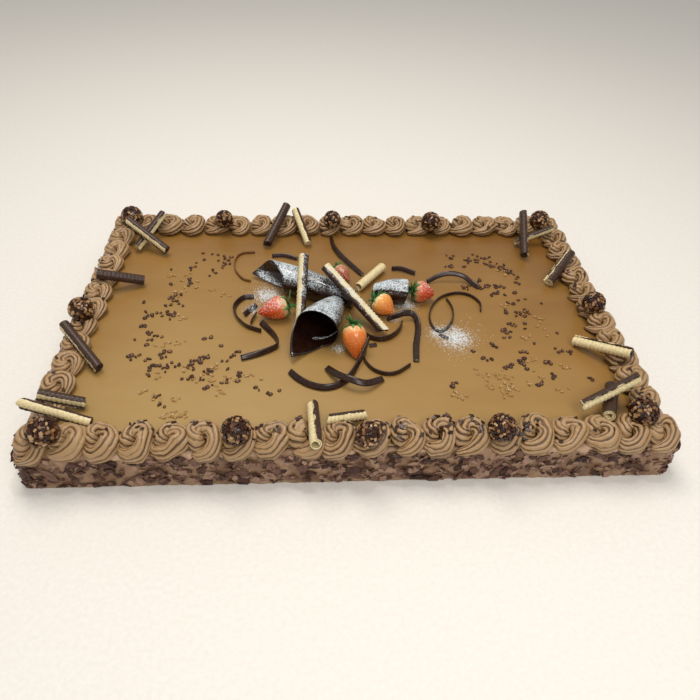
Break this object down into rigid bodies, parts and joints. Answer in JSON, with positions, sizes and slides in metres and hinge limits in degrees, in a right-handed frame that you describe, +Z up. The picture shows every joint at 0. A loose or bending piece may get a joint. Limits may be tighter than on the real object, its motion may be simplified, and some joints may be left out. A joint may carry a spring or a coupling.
{
  "type": "chocolate truffle cake",
  "caption": "Rectangular chocolate slab cake with smooth caramel icing, a piped rosette border, nut truffles, rolled chocolate sticks, chocolate cones, strawberries and ribbons.",
  "frame": {"origin": "middle of the flat underside of the slab", "axes": "+X along the long side to the right, +Y along the short side to the back, +Z up"},
  "size_m": [0.6066, 0.4122, 0.0994],
  "materials": {
    "flaked_sides": "tan buttercream with dark chocolate shavings pressed in",
    "caramel_icing": "smooth caramel-brown chocolate icing, softly glossy",
    "chocolate_buttercream": "piped milk chocolate buttercream, satin",
    "dark_chocolate": "tempered dark chocolate, glossy",
    "nut_coat": "dark chocolate with chopped roasted nuts",
    "two_tone_chocolate": "rolled white and dark chocolate, satin",
    "white_chocolate": "white chocolate, satin",
    "strawberry": "ripe strawberry skin with seeds, moist",
    "leaf": "green strawberry leaves",
    "icing_sugar": "sifted icing sugar",
    "gold_flake": "pale golden crisp flakes, glossy"
  },
  "bodies": {
    "root": {"cake_slab": "flaked_sides", "top_icing": "caramel_icing", "border_front": "chocolate_buttercream", "border_back": "chocolate_buttercream", "border_left": "chocolate_buttercream", "border_right": "chocolate_buttercream", "truffle_front_left_corner": "nut_coat", "truffle_front_left": "nut_coat", "truffle_front_middle": "nut_coat", "truffle_front_right": "nut_coat", "truffle_front_right_corner": "nut_coat", "truffle_right": "nut_coat", "truffle_back_right_corner": "nut_coat", "truffle_back_right": "nut_coat", "truffle_back_middle": "nut_coat", "truffle_back_left": "nut_coat", "truffle_back_left_corner": "nut_coat", "truffle_left": "nut_coat", "stick_back_left_over": "two_tone_chocolate", "stick_back_left_under": "two_tone_chocolate", "stick_left_back": "two_tone_chocolate", "stick_left_front": "two_tone_chocolate", "stick_front_left_short": "two_tone_chocolate", "stick_front_left_long": "two_tone_chocolate", "stick_back_dark": "two_tone_chocolate", "stick_back_pale": "two_tone_chocolate", "stick_back_right_over": "two_tone_chocolate", "stick_back_right_under": "two_tone_chocolate", "stick_right_back": "two_tone_chocolate", "stick_right_middle": "two_tone_chocolate", "stick_right_front_long": "two_tone_chocolate", "stick_right_front_short": "two_tone_chocolate", "stick_front_upright": "two_tone_chocolate", "stick_front_level": "two_tone_chocolate", "stick_centre_left": "two_tone_chocolate", "stick_centre_right": "two_tone_chocolate", "stick_centre_pale": "two_tone_chocolate", "cone_back": "dark_chocolate", "cone_front": "dark_chocolate", "cone_right": "dark_chocolate", "ribbon_back_loop": "dark_chocolate", "ribbon_back_left": "dark_chocolate", "ribbon_back_middle": "dark_chocolate", "ribbon_back_right": "dark_chocolate", "ribbon_right_arch": "dark_chocolate", "ribbon_right_spiral": "dark_chocolate", "ribbon_left_loop": "dark_chocolate", "ribbon_left_chord": "dark_chocolate", "ribbon_left_short": "dark_chocolate", "ribbon_front_left": "dark_chocolate", "ribbon_front_long": "dark_chocolate", "ribbon_front_over": "dark_chocolate", "ribbon_front_right": "dark_chocolate", "ribbon_right_long": "dark_chocolate", "ribbon_centre_arc": "dark_chocolate", "strawberry_left": "strawberry", "strawberry_front": "strawberry", "strawberry_middle": "strawberry", "strawberry_right": "strawberry", "strawberry_back": "strawberry"}
  },
  "joints": []
}
